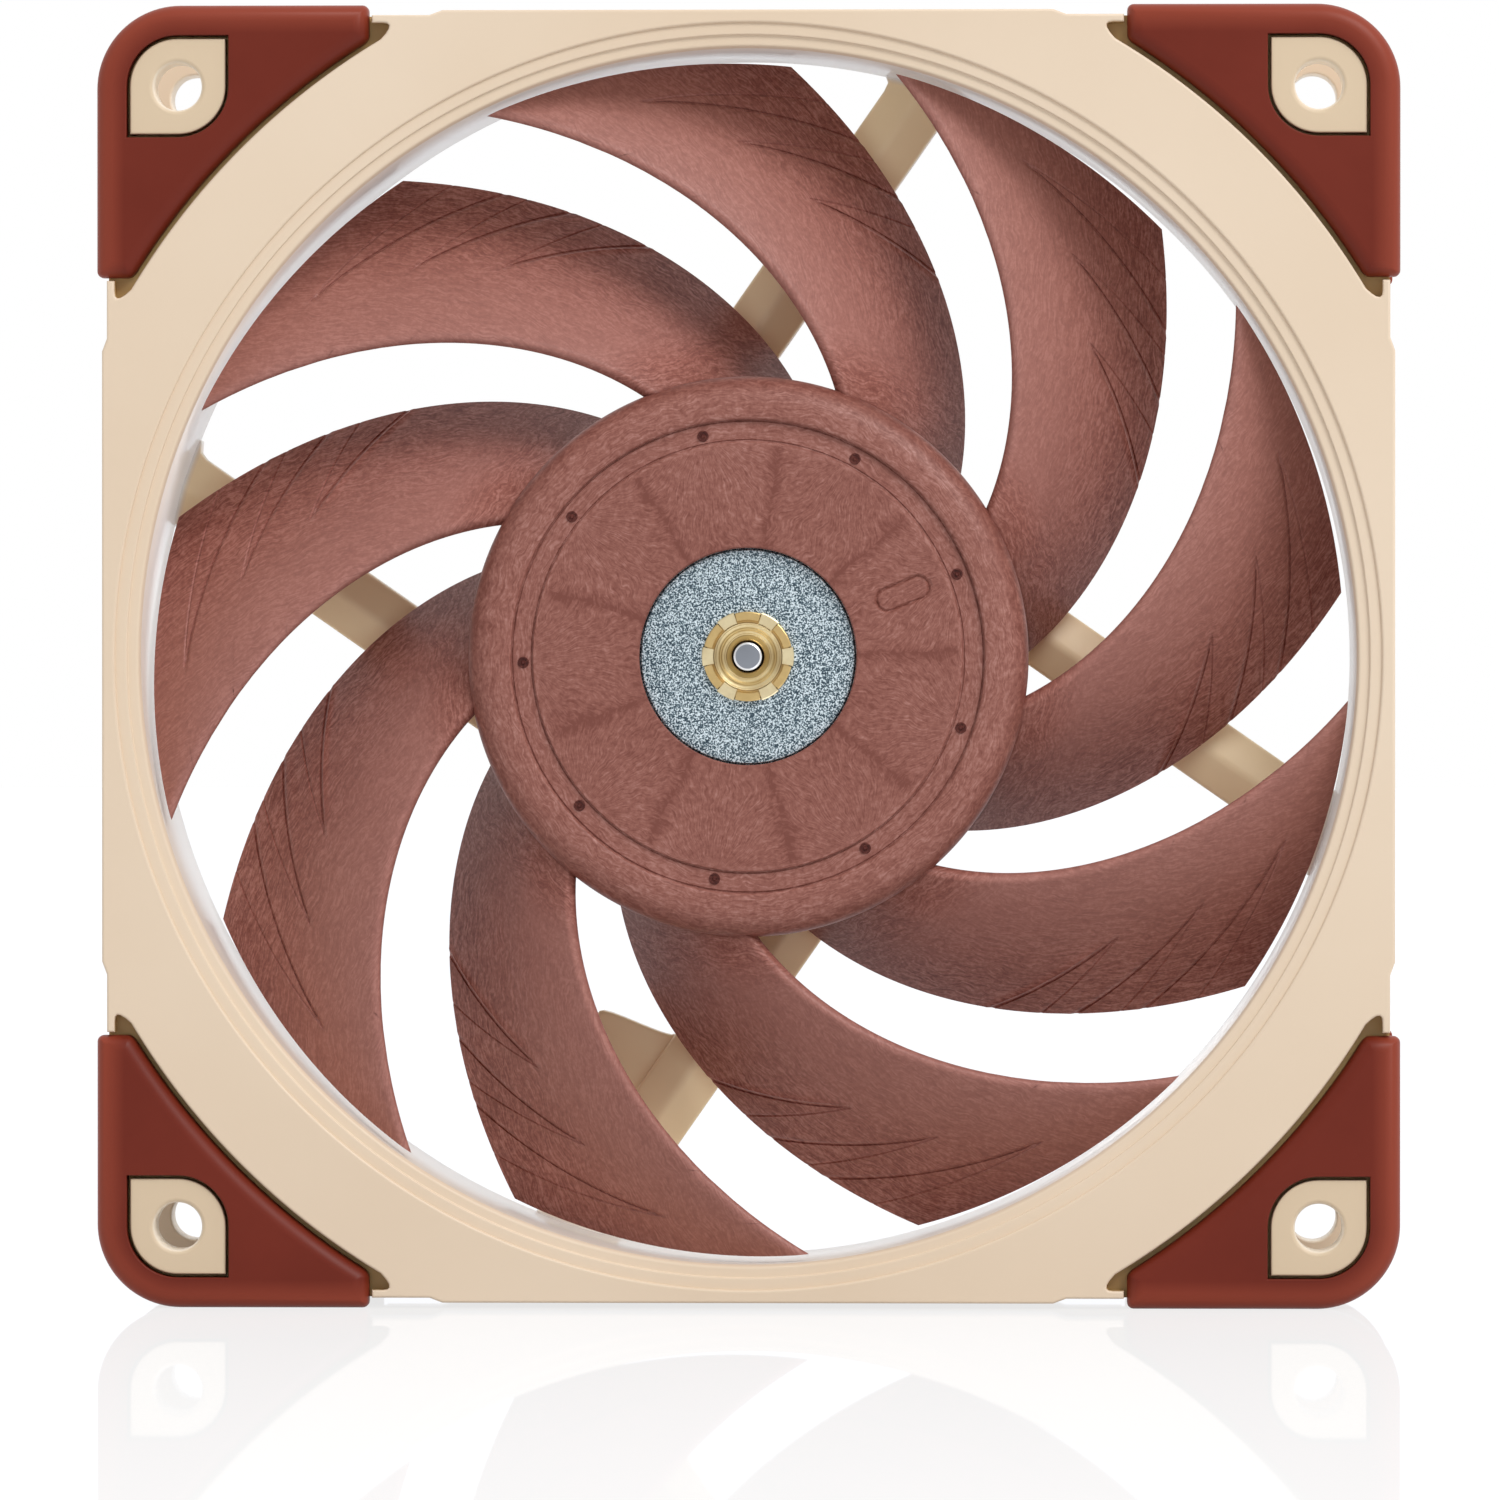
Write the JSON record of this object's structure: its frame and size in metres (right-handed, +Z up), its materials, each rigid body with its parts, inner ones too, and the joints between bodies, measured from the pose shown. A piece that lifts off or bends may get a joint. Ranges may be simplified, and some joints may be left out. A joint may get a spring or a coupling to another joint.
{
  "type": "computer case fan",
  "caption": "Square axial fan with a round duct, rubber corner pads and a freely turning bladed impeller carried on slanted rear struts.",
  "frame": {"origin": "middle of the fan: on the shaft's axis, halfway between the faces of the front and rear pads", "axes": "-Y towards the intake side, along the shaft; +Z up; +X to the right as seen from the intake side"},
  "size_m": [0.12, 0.025, 0.12],
  "materials": {
    "rubber": "satin",
    "beige_plastic": "satin",
    "brown_plastic": "satin",
    "steel": "satin",
    "brass": "polished",
    "bronze": "matte",
    "magnet": "matte",
    "lamination": "satin",
    "copper": "satin",
    "nylon": "matte",
    "board": "satin",
    "chip": "matte",
    "paper": "satin"
  },
  "bodies": {
    "housing": {"front_pad_top_right": "rubber", "front_pad_top_left": "rubber", "front_pad_bottom_left": "rubber", "front_pad_bottom_right": "rubber", "rear_pad_top_right": "rubber", "rear_pad_top_left": "rubber", "rear_pad_bottom_left": "rubber", "rear_pad_bottom_right": "rubber", "frame": "beige_plastic", "bearing_tube": "brass", "bearing_sleeve": "bronze", "stabilising_magnet": "magnet", "stator_core": "lamination", "coil_1": "copper", "coil_2": "copper", "coil_3": "copper", "coil_4": "copper", "winding_pin_1": "copper", "winding_pin_2": "copper", "winding_pin_3": "copper", "winding_pin_4": "copper", "insulator_front": "nylon", "insulator_rear": "nylon", "oil_seal": "nylon", "retaining_ring": "nylon", "thrust_pad": "nylon", "capacitor": "nylon", "circuit_board": "board", "hall_sensor": "chip", "driver_chip": "chip", "rear_label": "paper"},
    "rotor": {"impeller": "brown_plastic", "rotor_cup": "steel", "magnet_ring": "magnet", "shaft_hub": "brass", "shaft": "steel"}
  },
  "joints": [
    {"name": "rotor_spin", "type": "hinge", "parent": "housing", "child": "rotor", "pos_m": [0, 0, 0], "axis": [0, -1, 0], "continuous": true}
  ]
}
